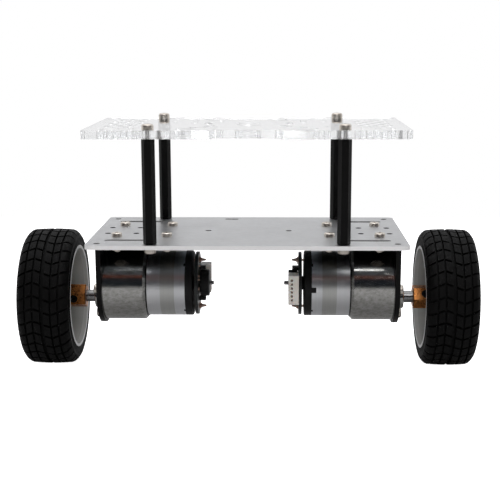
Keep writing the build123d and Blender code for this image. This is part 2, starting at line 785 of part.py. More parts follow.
with BuildPart() as wheel_rim:
    revolved_about_axle([
        (wheel_inner_face, rim_lip_radius),
        (wheel_inner_face + lip_width, rim_lip_radius),
        (wheel_inner_face + lip_width, rim_seat_radius),
        (wheel_outer_face - lip_width, rim_seat_radius),
        (wheel_outer_face - lip_width, rim_lip_radius),
        (wheel_outer_face, rim_lip_radius),
        (wheel_outer_face, rim_lip_radius - 1.0),
        (wheel_outer_face - 3, rim_bore_radius),
        (web_from, rim_bore_radius),
        (wheel_inner_face + 8, rim_bore_radius + 0.2),
        (wheel_inner_face + 8, rim_bore_radius + 0.6),
        (wheel_inner_face + 2, rim_bore_radius + 1.0),
        (wheel_inner_face + 2, rim_mouth_radius),
        (wheel_inner_face, rim_mouth_radius),
    ])
    with BuildSketch(across(web_from)):
        with Locations(output_axis):
            Circle(rim_bore_radius + 0.8)
            with PolarLocations(window_from, spoke_count):
                Polygon(
                    (0, -window_inner_half),
                    (window_reach, -window_outer_half),
                    (window_reach, window_outer_half),
                    (0, window_inner_half),
                    align=None,
                    mode=Mode.SUBTRACT,
                )
    extrude(amount=web_thickness)
    window_corners = wheel_rim.edges().filter_by(Axis.X).filter_by(GeomType.LINE)
    fillet(window_corners, 1.0)
    with BuildSketch(across(hub_from)):
        with Locations(output_axis):
            Circle(hub_radius)
    extrude(amount=hub_end - hub_from)
    with BuildSketch(across(hub_from)):
        with Locations(output_axis):
            RegularPolygon(coupling_hex / 2 + seat_gap, 6, major_radius=False, rotation=30)
    extrude(amount=coupling_end - hub_from, mode=Mode.SUBTRACT)
    with BuildSketch(across(coupling_end)):
        with Locations(output_axis):
            Circle(m4_radius + seat_gap)
    extrude(amount=hub_end - coupling_end, mode=Mode.SUBTRACT)

groove_depth = 1.9
groove_places = (-8.1, -4.4, 0.0, 4.4, 8.1)
groove_widths = (0.6, 0.6, 1.8, 0.6, 0.6)
with BuildPart() as tyre:
    revolved_about_axle([
        (wheel_inner_face, rim_lip_radius + seat_gap),
        (wheel_inner_face, shoulder_radius),
        (wheel_inner_face + 1.2, shoulder_radius + 1.7),
        (wheel_inner_face + 3.4, tread_radius - 0.5),
        (wheel_inner_face + 8, tread_radius),
        (wheel_outer_face - 8, tread_radius),
        (wheel_outer_face - 3.4, tread_radius - 0.5),
        (wheel_outer_face - 1.2, shoulder_radius + 1.7),
        (wheel_outer_face, shoulder_radius),
        (wheel_outer_face, rim_lip_radius + seat_gap),
        (wheel_outer_face - lip_width - seat_gap, rim_lip_radius + seat_gap),
        (wheel_outer_face - lip_width - seat_gap, rim_seat_radius + seat_gap),
        (wheel_inner_face + lip_width + seat_gap, rim_seat_radius + seat_gap),
        (wheel_inner_face + lip_width + seat_gap, rim_lip_radius + seat_gap),
    ])
    for place, width in zip(groove_places, groove_widths):
        with BuildSketch(across(wheel_middle + place - width / 2)):
            with Locations(output_axis):
                Circle(tread_radius + 1)
                Circle(tread_radius - groove_depth, mode=Mode.SUBTRACT)
        extrude(amount=width, mode=Mode.SUBTRACT)

m4_head_radius = 3.5
m4_head_height = 2.6
with BuildPart() as wheel_screw:
    seat = Plane((hub_end, 0, axle_height), z_dir=(1, 0, 0))
    add(pan_screw(seat, m4_head_radius, m4_head_height, m4_radius, hub_end - screw_hole_from - 1.5))

# ---------------------------------------------------------------- pieces made once
single_pieces = {
    "chassis_plate": chassis_plate,
    "top_deck": top_deck,
    "standoff_screws": standoff_screws,
    "bracket_screws": bracket_screws,
    "bracket_nuts": bracket_nuts,
    "gearbox_screws": gearbox_screws,
    "gear_pins": gear_pins,
    "motor_terminals": motor_terminals,
    "hall_sensors": hall_sensors,
    "connector_pins": connector_pins,
}
for name, piece in single_pieces.items():
    piece.part.label = name
    export_step(piece.part, f"parts/{name}.step")

# ---------------------------------------------------------------- pieces of the two drive units
fixed_pieces = {
    "motor_bracket": motor_bracket,
    "gearbox_housing": gearbox_housing,
    "gearbox_back_plate": gearbox_back_plate,
    "output_bush": output_bush,
    "motor_can": motor_can,
    "stator_magnets": stator_magnets,
    "motor_end_cap": motor_end_cap,
    "brushes": brushes,
    "encoder_board": encoder_board,
    "encoder_connector": encoder_connector,
    "output_gear": output_gear,
    "first_gear": first_gear,
    "second_gear": second_gear,
    "motor_shaft": motor_shaft,
    "armature": armature,
    "motor_pinion": motor_pinion,
    "encoder_magnet": encoder_magnet,
}
wheel_pieces = {
    "output_shaft": output_shaft,
    "hub_coupling": hub_coupling,
    "set_screw": set_screw,
    "wheel_rim": wheel_rim,
    "tyre": tyre,
    "wheel_screw": wheel_screw,
}
axle = Axis((0, 0, axle_height), (1, 0, 0))
# side, half turn about Z, and how far that side's wheel is rolled round its axle at rest
drive_units = (("left", 180, 173.8), ("right", 0, -28.8))
for side, turn, roll in drive_units:
    for name, piece in fixed_pieces.items():
        placed = piece.part.rotate(Axis.Z, turn)
        placed.label = f"{side}_{name}"
        export_step(placed, f"parts/{side}_{name}.step")
    for name, piece in wheel_pieces.items():
        placed = piece.part.rotate(axle, roll).rotate(Axis.Z, turn)
        placed.label = f"{side}_{name}"
        export_step(placed, f"parts/{side}_{name}.step")
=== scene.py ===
"""Looks of the two wheel robot car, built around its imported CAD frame. Units are metres."""

import json
import math

import bmesh
import bpy
from mathutils import Matrix, Vector


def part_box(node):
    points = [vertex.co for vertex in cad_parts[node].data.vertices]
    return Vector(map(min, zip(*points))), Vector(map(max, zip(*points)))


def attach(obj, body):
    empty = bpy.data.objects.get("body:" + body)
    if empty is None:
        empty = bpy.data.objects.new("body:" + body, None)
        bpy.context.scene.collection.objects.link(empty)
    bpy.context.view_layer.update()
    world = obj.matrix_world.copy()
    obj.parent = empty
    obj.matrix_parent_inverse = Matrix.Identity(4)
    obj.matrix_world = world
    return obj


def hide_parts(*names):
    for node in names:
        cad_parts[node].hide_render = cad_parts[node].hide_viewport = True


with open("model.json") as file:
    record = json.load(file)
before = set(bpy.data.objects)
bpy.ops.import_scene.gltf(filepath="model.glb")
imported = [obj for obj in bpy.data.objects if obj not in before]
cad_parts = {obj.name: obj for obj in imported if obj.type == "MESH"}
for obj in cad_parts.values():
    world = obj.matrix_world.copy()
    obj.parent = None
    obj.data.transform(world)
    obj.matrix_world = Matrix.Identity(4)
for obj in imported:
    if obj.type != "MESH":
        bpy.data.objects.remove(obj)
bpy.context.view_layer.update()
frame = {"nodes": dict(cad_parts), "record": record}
scene = bpy.context.scene
MM = 0.001
SIDES = {"left": -1, "right": 1}

# ------------------------------------------------------------------ places taken from the frame
rim_low, rim_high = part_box("right_wheel_rim")
tyre_low, tyre_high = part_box("right_tyre")
plate_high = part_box("chassis_plate")[1]
board_low, board_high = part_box("right_encoder_board")
axle_height = (tyre_low.z + tyre_high.z) / 2
wheel_middle = (tyre_low.x + tyre_high.x) / 2
tread_radius = axle_height
motor_height = (board_low.z + board_high.z) / 2


# ------------------------------------------------------------------ node and material tools
class Nodes:
    """Short ways to add nodes to one tree of shader nodes."""

    def __init__(self, tree):
        self.tree = tree

    def node(self, kind, **settings):
        made = self.tree.nodes.new(kind)
        for key, value in settings.items():
            setattr(made, key, value)
        return made

    def link(self, source, target):
        self.tree.links.new(source, target)

    def feed(self, socket, value):
        """Gives a socket a number, a plain colour or the output of another node."""
        if isinstance(value, tuple):
            socket.default_value = (*value, 1.0)
        elif isinstance(value, (int, float)):
            socket.default_value = value
        else:
            self.link(value, socket)

    def math(self, operation, first, second=None):
        made = self.node("ShaderNodeMath", operation=operation)
        self.feed(made.inputs[0], first)
        if second is not None:
            self.feed(made.inputs[1], second)
        return made.outputs["Value"]

    def part(self, vector, axis):
        """One part of a vector."""
        parts = self.node("ShaderNodeSeparateXYZ")
        self.link(vector, parts.inputs["Vector"])
        return parts.outputs[axis]

    def spread(self, value, low, high, from_low=0.3, from_high=0.7, kind="LINEAR"):
        """The value's useful middle range, brought to low .. high."""
        made = self.node("ShaderNodeMapRange", interpolation_type=kind)
        for name, number in (
            ("From Min", from_low),
            ("From Max", from_high),
            ("To Min", low),
            ("To Max", high),
        ):
            made.inputs[name].default_value = number
        self.link(value, made.inputs["Value"])
        return made.outputs["Result"]

    def ramp(self, value, *stops, sharp=False):
        """Colour ramp through (place, colour) stops."""
        made = self.node("ShaderNodeValToRGB")
        ramp = made.color_ramp
        if sharp:
            ramp.interpolation = "CONSTANT"
        while len(ramp.elements) < len(stops):
            ramp.elements.new(1.0)
        for element, (place, colour) in zip(ramp.elements, stops):
            element.position = place
            element.color = (*colour, 1.0)
        self.link(value, made.inputs["Fac"])
        return made.outputs["Color"]

    def blended(self, factor, first, second, mode="MIX"):
        """Two colours mixed by a factor between 0 and 1; either may be a plain colour."""
        made = self.node("ShaderNodeMix", data_type="RGBA", blend_type=mode)
        for name, value in (("Factor", factor), ("A", first), ("B", second)):
            self.feed(made.inputs[name], value)
        return made.outputs["Result"]


class Surface(Nodes):
    """A procedural material built up around one Principled shader."""

    def __init__(self, name, **constants):
        self.material = bpy.data.materials.new(name)
        self.material.use_nodes = True
        super().__init__(self.material.node_tree)
        self.shader = self.tree.nodes["Principled BSDF"]
        for socket, value in constants.items():
            self.shader.inputs[socket.replace("_", " ")].default_value = value
        self.place = self.node("ShaderNodeTexCoord").outputs["Object"]
        self.last_normal = None

    def mapped(self, scale=(1, 1, 1), shift=(0, 0, 0)):
        """Object coordinates, moved and then stretched."""
        move = self.node("ShaderNodeMapping")
        move.inputs["Location"].default_value = shift
        self.link(self.place, move.inputs["Vector"])
        stretch = self.node("ShaderNodeMapping")
        stretch.inputs["Scale"].default_value = scale
        self.link(move.outputs["Vector"], stretch.inputs["Vector"])
        return stretch.outputs["Vector"]

    def noise(self, scale, detail=3.0, stretch=(1, 1, 1), roughness=0.55):
        """Noise between 0 and 1; scale is in cycles for each metre."""
        made = self.node("ShaderNodeTexNoise")
        made.inputs["Scale"].default_value = scale
        made.inputs["Detail"].default_value = detail
        made.inputs["Roughness"].default_value = roughness
        self.link(self.mapped(stretch), made.inputs["Vector"])
        return made.outputs["Fac"]

    def cells(self, scale):
        """Distance to the nearest random point; scale is in cells for each metre."""
        made = self.node("ShaderNodeTexVoronoi")
        made.inputs["Scale"].default_value = scale
        self.link(self.place, made.inputs["Vector"])
        return made.outputs["Distance"]

    def rings(self, period, height):
        """Rings about the axis along X at the given height, one for each period."""
        made = self.node("ShaderNodeTexWave", wave_type="RINGS", rings_direction="X")
        made.inputs["Scale"].default_value = 0.05 / period
        made.inputs["Distortion"].default_value = 0.15
        made.inputs["Detail"].default_value = 1.0
        self.link(self.mapped(shift=(0, 0, -height)), made.inputs["Vector"])
        return made.outputs["Fac"]

    def along(self, axis):
        """One object coordinate."""
        return self.part(self.place, axis)

    def from_middle(self, axis):
        """Distance from the car's middle along one axis."""
        return self.math("ABSOLUTE", self.along(axis))

    def axle_distance(self):
        """Distance from the wheels' axle."""
        forward = self.along("Y")
        up = self.math("SUBTRACT", self.along("Z"), axle_height)
        squares = self.math("ADD", self.math("MULTIPLY", forward, forward), self.math("MULTIPLY", up, up))
        return self.math("SQRT", squares)

    def upwards(self):
        """1 on faces that look up, 0 on upright ones and -1 on those that look down."""
        return self.part(self.node("ShaderNodeNewGeometry").outputs["Normal"], "Z")

    def flatness(self):
        """1 on level faces and 0 on upright ones."""
        return self.math("ABSOLUTE", self.upwards())

    def all_of(self, first, *others):
        """1 where every one of some tests is 1, and otherwise 0."""
        result = first
        for other in others:
            result = self.math("MULTIPLY", result, other)
        return result

    def colour(self, source):
        self.link(source, self.shader.inputs["Base Color"])

    def rough(self, source):
        self.link(source, self.shader.inputs["Roughness"])

    def bump(self, height, distance, strength=0.5):
        """Adds a bump of the given depth in metres to the ones before it."""
        made = self.node("ShaderNodeBump")
        made.inputs["Distance"].default_value = distance
        made.inputs["Strength"].default_value = strength
        self.link(height, made.inputs["Height"])
        if self.last_normal is not None:
            self.link(self.last_normal, made.inputs["Normal"])
        self.last_normal = made.outputs["Normal"]
        self.link(self.last_normal, self.shader.inputs["Normal"])


def grey(value, warm=0.0):
    """A grey with a slight warm or cool cast."""
    return (value * (1 + warm), value, value * (1 - warm))


# ------------------------------------------------------------------ metals
def satin_aluminium():
    """Satin top, an underside darkened as painted shade, pale bare outer cut edges, and hole walls
    darkened as painted shade, near black over the brackets.
    """
    surface = Surface("satin_aluminium")
    upright = surface.math("LESS_THAN", surface.flatness(), 0.5)
    bracket_low, bracket_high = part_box("right_motor_bracket")
    # Painted shade: walls of the holes and slots over the motor brackets are painted near black, as if in
    # shadow.
    painted_shade_walls = surface.all_of(
        surface.math("LESS_THAN", surface.from_middle("X"), bracket_high.x),
        surface.math("GREATER_THAN", surface.from_middle("X"), bracket_low.x),
        surface.math("LESS_THAN", surface.from_middle("Y"), bracket_high.y),
        upright,
    )
    bare = surface.math("SUBTRACT", upright, painted_shade_walls)
    reach = surface.math(
        "MAXIMUM",
        surface.math("DIVIDE", surface.from_middle("X"), plate_high.x),
        surface.math("DIVIDE", surface.from_middle("Y"), plate_high.y),
    )
    outside = surface.math("GREATER_THAN", reach, 0.97)
    # Outer cut edges keep the bare edge's own pale grey; upright walls inside the plate get a dark grey as
    # painted shade.
    edge_tone_and_hole_shade = surface.spread(outside, 0.30, 0.84, 0.0, 1.0)
    surface.link(surface.spread(bare, 1.0, 0.15, 0.0, 1.0), surface.shader.inputs["Metallic"])
    cloud = surface.noise(60, 4)
    faces = surface.ramp(cloud, (0.3, grey(0.52, -0.01)), (0.7, grey(0.58, -0.01)))
    # Painted shade: faces that look down get a darker, cooler grey.
    painted_underside_shade = surface.math("LESS_THAN", surface.upwards(), -0.5)
    faces = surface.blended(painted_underside_shade, faces, grey(0.2, -0.08))
    faces = surface.blended(bare, faces, edge_tone_and_hole_shade)
    # painted shade: near black on the hole walls over the brackets
    surface.colour(surface.blended(painted_shade_walls, faces, grey(0.04)))
    surface.rough(surface.spread(surface.noise(400, 4), 0.33, 0.42))
    surface.bump(surface.noise(3500, 2), 0.00002, 0.35)
    return surface.material


def plated(name, low, high, rough_low, rough_high, painted_underside_shade=1.0, painted_thread_shade=1.0):
    """Plated or bright steel with fine marks; two factors darken its undersides and what is in the deck,
    as painted shade.
    """
    surface = Surface(name, Metallic=1.0)
    metal = surface.ramp(surface.noise(350, 4), (0.35, low), (0.65, high))
    # Painted shade: faces that look down are darkened by the underside factor.
    looks_down = surface.math("LESS_THAN", surface.upwards(), -0.5)
    metal = surface.blended(looks_down, metal, tuple(painted_underside_shade * value for value in low))
    # Painted shade: the part inside the clear deck is darkened by the thread factor, as if in shadow.
    deck_low, deck_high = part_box("top_deck")
    in_deck = surface.all_of(
        surface.math("GREATER_THAN", surface.along("Z"), deck_low.z),
        surface.math("LESS_THAN", surface.along("Z"), deck_high.z),
    )
    surface.colour(surface.blended(in_deck, metal, tuple(painted_thread_shade * value for value in low)))
    surface.rough(surface.spread(surface.noise(900, 5), rough_low, rough_high))
    surface.bump(surface.noise(2500, 3), 0.00001, 0.4)
    return surface.material


def cast_metal():
    """Turned zinc casting with a near-black ring of painted shade in the gap where the motor's can meets
    it.
    """
    surface = Surface("cast_metal", Metallic=1.0)
    mottle = surface.noise(700, 7, (0.6, 1, 1), 0.75)
    joint_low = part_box("right_gearbox_back_plate")[0]
    # Painted shade: 0.6 mm next to the can stands in for the shadow in the gap between the parts.
    joint_gap_shade = surface.math("LESS_THAN", surface.from_middle("X"), joint_low.x + 0.6 * MM)
    metal = surface.ramp(
        mottle,
        (0.35, (0.29, 0.285, 0.27)),
        (0.5, (0.42, 0.42, 0.40)),
        (0.65, (0.52, 0.52, 0.51)),
    )
    surface.colour(surface.blended(joint_gap_shade, metal, grey(0.03)))
    surface.rough(surface.spread(surface.noise(500, 6, (0.35, 1, 1)), 0.1, 0.24))
    surface.bump(surface.noise(900, 6), 0.00003, 0.25)
    surface.bump(surface.cells(1500), 0.00001, 0.2)
    return surface.material


def can_steel():
    """Drawn steel with a flux band round the middle of the can, and a near-black ring of painted shade at
    its outer end, in the gap where it meets the gearbox.
    """
    surface = Surface("can_steel", Metallic=1.0)
    can_low, can_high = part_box("right_motor_can")
    from_end = surface.math("SUBTRACT", surface.from_middle("X"), can_low.x)
    flux_band_and_joint_shade = surface.ramp(
        surface.math("DIVIDE", from_end, can_high.x - can_low.x),
        (0.0, grey(0.84, -0.02)),
        (0.25, (0.60, 0.61, 0.59)),
        (0.585, grey(0.80, -0.015)),
        # painted shade: near black over the last 1.5 % of the length, for the shadow in the gap at the
        # gearbox
        (0.985, grey(0.03)),
        sharp=True,
    )
    lines = surface.noise(14, 5, (260, 1, 1))
    drawn = surface.ramp(lines, (0.3, grey(0.78)), (0.7, grey(1.0)))
    surface.colour(surface.blended(0.35, flux_band_and_joint_shade, drawn, "MULTIPLY"))
    surface.rough(surface.spread(surface.noise(300, 4), 0.3, 0.4))
    surface.bump(lines, 0.00002, 0.3)
    return surface.material


def machined_brass(name, low, high, period):
    """Turned or milled brass with fine tool lines across X."""
    surface = Surface(name, Metallic=1.0)
    surface.colour(surface.ramp(surface.noise(160, 3), (0.3, low), (0.7, high)))
    surface.rough(surface.spread(surface.noise(500, 4), 0.22, 0.36))
    surface.bump(surface.noise(10, 3, (1 / (10 * period), 1, 1)), 0.00002, 0.35)
    return surface.material


def black_coated(name, level, rough_low, rough_high, grain):
    """Black paint, anodising or black oxide, with a fine grain."""
    surface = Surface(name, Metallic=0.0, Specular_IOR_Level=0.15)
    surface.colour(surface.ramp(surface.noise(200, 4), (0.3, grey(level)), (0.7, grey(level * 1.5))))
    surface.rough(surface.spread(surface.noise(700, 5), rough_low, rough_high))
    surface.bump(surface.noise(grain, 3), 0.00002, 0.4)
    return surface.material


# ------------------------------------------------------------------ plastics, rubber and boards
def moulded(name, low, high, rough_low, rough_high, **constants):
    """Moulded plastic with a fine spark-eroded texture."""
    surface = Surface(name, **constants)
    surface.colour(surface.ramp(surface.noise(150, 4), (0.3, low), (0.7, high)))
    surface.rough(surface.spread(surface.noise(800, 4), rough_low, rough_high))
    surface.bump(surface.cells(2600), 0.00002, 0.35)
    return surface.material


def clear_acrylic():
    """Polished faces, and laser-cut edges that are partly frosted with fine upright lines."""
    surface = Surface("clear_acrylic", Transmission_Weight=1.0, IOR=1.49)
    faces = surface.ramp(surface.noise(40, 2), (0.3, grey(0.98, -0.004)), (0.7, grey(0.995)))
    surface.colour(surface.blended(surface.flatness(), grey(0.96, -0.006), faces))
    frost = surface.spread(surface.flatness(), 0.82, 1.0, 0.2, 0.8)
    surface.link(frost, surface.shader.inputs["Transmission Weight"])
    surface.rough(surface.spread(surface.flatness(), 0.03, 0.0, 0.2, 0.8))
    # Painted light: rays that have bounced more than five times make the acrylic glow faintly white,
    # though it is no lamp.
    bounces = surface.node("ShaderNodeLightPath").outputs["Ray Depth"]
    surface.shader.inputs["Emission Color"].default_value = (1, 1, 1, 1)
    painted_glow_rays = surface.math("GREATER_THAN", bounces, 5.5)
    surface.link(surface.math("MULTIPLY", painted_glow_rays, 0.25), surface.shader.inputs["Emission Strength"])
    surface.bump(surface.noise(500, 2, (1, 1, 0.02)), 0.00001, 0.05)
    return surface.material


def rim_plastic():
    """Pale plastic, its barrel darkened as painted shade that fades towards the mouth; the lip keeps the
    plastic's own pale colour.
    """
    surface = Surface("rim_plastic", Specular_IOR_Level=0.45)
    # Painted shade: the inside of the barrel gets a dark grey, fading out towards the mouth.
    shaded_barrel_colour = surface.ramp(surface.noise(90, 4), (0.3, (0.27, 0.277, 0.26)), (0.7, (0.32, 0.327, 0.308)))
    shade_fade_at_mouth = surface.spread(surface.axle_distance(), 0.0, 0.35, 23.4 * MM, 24.3 * MM)
    lip = surface.spread(surface.axle_distance(), 0.0, 1.0, 24.45 * MM, 24.6 * MM)
    surface.colour(surface.blended(surface.math("MAXIMUM", shade_fade_at_mouth, lip), shaded_barrel_colour, grey(0.95)))
    surface.rough(surface.spread(surface.noise(600, 4), 0.3, 0.42))
    surface.bump(surface.rings(0.9 * MM, axle_height), 0.00004, 0.25)
    surface.bump(surface.noise(2500, 2), 0.00001, 0.3)
    return surface.material


def tyre_rubber():
    """Matt black rubber with a little dust in it."""
    surface = Surface("tyre_rubber", Specular_IOR_Level=0.12)
    dust = surface.noise(120, 6)
    surface.colour(surface.ramp(dust, (0.3, grey(0.0018)), (0.6, grey(0.003)), (0.8, grey(0.006))))
    surface.rough(surface.spread(surface.noise(500, 5), 0.48, 0.68))
    surface.bump(surface.noise(1400, 5), 0.00006, 0.35)
    surface.bump(surface.cells(3200), 0.00002, 0.3)
    return surface.material


def circuit_board():
    """Black solder mask over copper tracks, which show as faint raised paths."""
    surface = Surface("circuit_board", Specular_IOR_Level=0.5, Coat_Weight=0.2, Coat_Roughness=0.2)
    tracks = surface.node("ShaderNodeTexBrick", offset=0.5, squash=1.4)
    for name, number in (
        ("Scale", 260.0),
        ("Mortar Size", 0.03),
        ("Brick Width", 0.9),
        ("Row Height", 0.35),
    ):
        tracks.inputs[name].default_value = number
    turned = surface.node("ShaderNodeMapping")
    turned.inputs["Rotation"].default_value = (0, math.radians(90), math.radians(90))
    surface.link(surface.place, turned.inputs["Vector"])
    surface.link(turned.outputs["Vector"], tracks.inputs["Vector"])
    surface.colour(
        surface.ramp(tracks.outputs["Fac"], (0.2, (0.004, 0.005, 0.005)), (0.8, (0.012, 0.018, 0.015)))
    )
    surface.rough(surface.spread(surface.noise(900, 3), 0.28, 0.4))
    surface.bump(tracks.outputs["Fac"], 0.00003, 0.3)
    return surface.material


def winding():
    """Enamelled copper wire wound over dark laminations."""
    surface = Surface("copper_winding", Metallic=1.0)
    wires = surface.noise(30, 2, (120, 1, 1))
    surface.colour(surface.ramp(wires, (0.35, (0.20, 0.06, 0.02)), (0.65, (0.62, 0.26, 0.10))))
    surface.rough(surface.spread(wires, 0.25, 0.45))
    surface.bump(wires, 0.0001, 0.6)
    return surface.material


# one material for each material slot of the record
slot_materials = {
    "satin_aluminium": satin_aluminium(),
    "clear_acrylic": clear_acrylic(),
    "black_standoff": black_coated("black_standoff", 0.0022, 0.30, 0.42, 1800),
    "black_steel": black_coated("black_steel", 0.003, 0.32, 0.48, 2600),
    "black_bracket": black_coated("black_bracket", 0.0022, 0.28, 0.40, 1500),
    # nickel_steel: undersides and threads inside the deck are darkened as painted shade
    "nickel_steel": plated(
        "nickel_steel", (0.66, 0.61, 0.54), (0.82, 0.77, 0.70), 0.28, 0.42, painted_underside_shade=0.25, painted_thread_shade=0.12
    ),
    "cast_metal": cast_metal(),
    "plated_steel": can_steel(),
    "ground_steel": plated("ground_steel", grey(0.22), grey(0.32), 0.16, 0.28),
    "gear_steel": plated("gear_steel", grey(0.36), grey(0.48), 0.26, 0.40),
    "tinned_metal": plated("tinned_metal", (0.34, 0.20, 0.15), (0.62, 0.48, 0.41), 0.20, 0.38),
    "bronze": machined_brass("bronze", (0.34, 0.20, 0.09), (0.50, 0.31, 0.15), 0.3 * MM),
    "brass": machined_brass("brass", (0.42, 0.160, 0.046), (0.52, 0.208, 0.062), 0.35 * MM),
    "copper_winding": winding(),
    "ferrite": moulded("ferrite", grey(0.004), grey(0.008), 0.38, 0.55, Specular_IOR_Level=0.25),
    "carbon": moulded("carbon", grey(0.020), grey(0.040), 0.45, 0.65),
    "black_plastic": moulded(
        "black_plastic", grey(0.003), grey(0.006), 0.36, 0.5, Specular_IOR_Level=0.25
    ),
    "white_plastic": moulded(
        "white_plastic",
        (0.66, 0.63, 0.57),
        (0.74, 0.71, 0.66),
        0.32,
        0.46,
        Subsurface_Weight=0.1,
        Subsurface_Scale=0.001,
    ),
    "circuit_board": circuit_board(),
    "rim_plastic": rim_plastic(),
    "tyre_rubber": tyre_rubber(),
}


def dress(piece, material):
    """Gives a piece one material in all its slots."""
    if not piece.material_slots:
        piece.data.materials.append(material)
    for material_slot in piece.material_slots:
        material_slot.material = material


for row in frame["record"]["subparts"]:
    dress(frame["nodes"][row["node"]], slot_materials[row["material_slot"]])


# ------------------------------------------------------------------ mesh tools
def new_piece(name, mesh_maker, body, slot, smooth_angle=35):
    """Makes a mesh object from a bmesh function, with its body and its record slot."""
    shape = bmesh.new()
    mesh_maker(shape)
    mesh = bpy.data.meshes.new(name)
    shape.to_mesh(mesh)
    shape.free()
    piece = bpy.data.objects.new(name, mesh)
    scene.collection.objects.link(piece)
    for polygon in mesh.polygons:
        polygon.use_smooth = True
    mesh.set_sharp_from_angle(angle=math.radians(smooth_angle))
    dress(piece, slot_materials[slot])
    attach(piece, body)
    return piece


def spin_profile(shape, points, steps):
    """Closed ring turned about the wheel's axle from (outward distance, radius) points."""
    rings = []
    for step in range(steps):
        turn = 2 * math.pi * step / steps
        rings.append([
            shape.verts.new((out, -radius * math.cos(turn), radius * math.sin(turn)))
            for out, radius in points
        ])
    for step in range(steps):
        here, there = rings[step], rings[(step + 1) % steps]
        for index in range(len(points)):
            after = (index + 1) % len(points)
            shape.faces.new((here[index], here[after], there[after], there[index]))


# ------------------------------------------------------------------ tyre with its block tread
TREAD_PITCHES = 34
GROOVE_DEPTH = 1.9 * MM
BLOCK_SINK = 0.5 * MM
LATERAL_GROOVE = 1.15 * MM
ZIGZAG_SLOPE = 0.385
ZIGZAG_TURN = 4.4 * MM
CROWN_DROP = 0.35 * MM          # how far the tread's top falls over its nearly flat part
CROWN_REACH = 9.0 * MM
SHOULDER_WIDTH = 3.6 * MM
SHOULDER_DROP = 2.9 * MM
SIDE_INSET = 0.35 * MM
BLOCK_ROUNDING = 0.34 * MM
half_width = (tyre_high.x - tyre_low.x) / 2
# block columns across the tread, as outward distances from the wheel's middle
block_columns = [
    (0.9 * MM, 3.95 * MM),
    (4.85 * MM, 7.65 * MM),
    (8.55 * MM, half_width - SIDE_INSET),
    (-3.95 * MM, -0.9 * MM),
    (-7.65 * MM, -4.85 * MM),
    (-half_width + SIDE_INSET, -8.55 * MM),
]


def crown(out):
    """Radius of the tread's top at an outward distance: nearly flat, then rounded at the shoulder."""
    distance = abs(out)
    drop = CROWN_DROP * (distance / CROWN_REACH) ** 2
    shoulder_from = half_width - SHOULDER_WIDTH
    if distance > shoulder_from:
        drop += SHOULDER_DROP * ((distance - shoulder_from) / SHOULDER_WIDTH) ** 2.2
    return tread_radius - drop


def groove_line(out):
    """Where a lateral groove runs: it falls across the middle and rises in both outer thirds."""
    middle = max(-ZIGZAG_TURN, min(ZIGZAG_TURN, out))
    return ZIGZAG_SLOPE * (out - 2 * middle)


def tread_block(shape, low, high, turn_from, turn_to):
    """One closed block of rubber between two lateral grooves, sunk into the carcass."""
    across_steps = 4
    around_steps = 3
    grid = {}
    for level in (0, 1):
        for i in range(across_steps + 1):
            out = low + (high - low) * i / across_steps
            root_radius = min(crown(out), tread_radius - 0.3 * MM) - GROOVE_DEPTH - BLOCK_SINK
            radius = crown(out) if level else root_radius
            lean = groove_line(out) / tread_radius
            for j in range(around_steps + 1):
                turn = turn_from + (turn_to - turn_from) * j / around_steps + lean
                grid[level, i, j] = shape.verts.new(
                    (out, -radius * math.cos(turn), radius * math.sin(turn))
                )
    for i in range(across_steps):
        for j in range(around_steps):
            for level in (0, 1):
                near = [grid[level, i, j], grid[level, i + 1, j]]
                far = [grid[level, i + 1, j + 1], grid[level, i, j + 1]]
                corners = near + far
                shape.faces.new(corners if level else corners[::-1])
    for i in range(across_steps):
        for j in (0, around_steps):
            corners = [grid[0, i, j], grid[0, i + 1, j], grid[1, i + 1, j], grid[1, i, j]]
            shape.faces.new(corners if j == 0 else corners[::-1])
    for j in range(around_steps):
        for i in (0, across_steps):
            corners = [grid[0, i, j], grid[1, i, j], grid[1, i, j + 1], grid[0, i, j + 1]]
            shape.faces.new(corners if i == 0 else corners[::-1])


def tyre_shape(shape):
    """Carcass ring and blocks, drawn about the origin with outward along +X."""
    bead_radius = (rim_high.z - rim_low.z) / 2 + 0.02 * MM
    seat_radius = bead_radius - 1.0 * MM
    lip = 1.52 * MM
    floor_radius = tread_radius - GROOVE_DEPTH
    half = []
    for out, radius in (
        (half_width, bead_radius),
        (half_width, bead_radius + 1.0 * MM),
        (half_width - SIDE_INSET, bead_radius + 1.5 * MM),
        (half_width - SIDE_INSET, bead_radius + 3.3 * MM),
        (half_width - 0.1 * MM, bead_radius + 3.9 * MM),
        (half_width - 0.1 * MM, bead_radius + 4.7 * MM),
        (half_width - 0.8 * MM, bead_radius + 5.4 * MM),
        (half_width - 2.0 * MM, floor_radius - 0.6 * MM),
        (half_width - 4.0 * MM, floor_radius - 0.1 * MM),
        (half_width - 7.0 * MM, floor_radius),
    ):
        half.append((out, radius))
    profile = (
        half
        + [(-out, radius) for out, radius in reversed(half)]
        + [(-half_width + lip, bead_radius), (-half_width + lip, seat_radius)]
        + [(half_width - lip, seat_radius), (half_width - lip, bead_radius)]
    )
    spin_profile(shape, profile, 4 * TREAD_PITCHES)
    bmesh.ops.recalc_face_normals(shape, faces=shape.faces)
    pitch = 2 * math.pi / TREAD_PITCHES
    gap = LATERAL_GROOVE / tread_radius
    blocks_from = len(shape.faces)
    for low, high in block_columns:
        for step in range(TREAD_PITCHES):
            start = step * pitch + gap / 2
            tread_block(shape, low, high, start, start + pitch - gap)
    shape.faces.ensure_lookup_table()
    edges = {
        edge
        for face in shape.faces[blocks_from:]
        for edge in face.edges
        if edge.is_manifold and edge.calc_face_angle(0.0) > math.radians(50)
    }
    bmesh.ops.bevel(
        shape,
        geom=list(edges),
        offset=BLOCK_ROUNDING,
        segments=2,
        profile=0.6,
        affect="EDGES",
        clamp_overlap=True,
    )


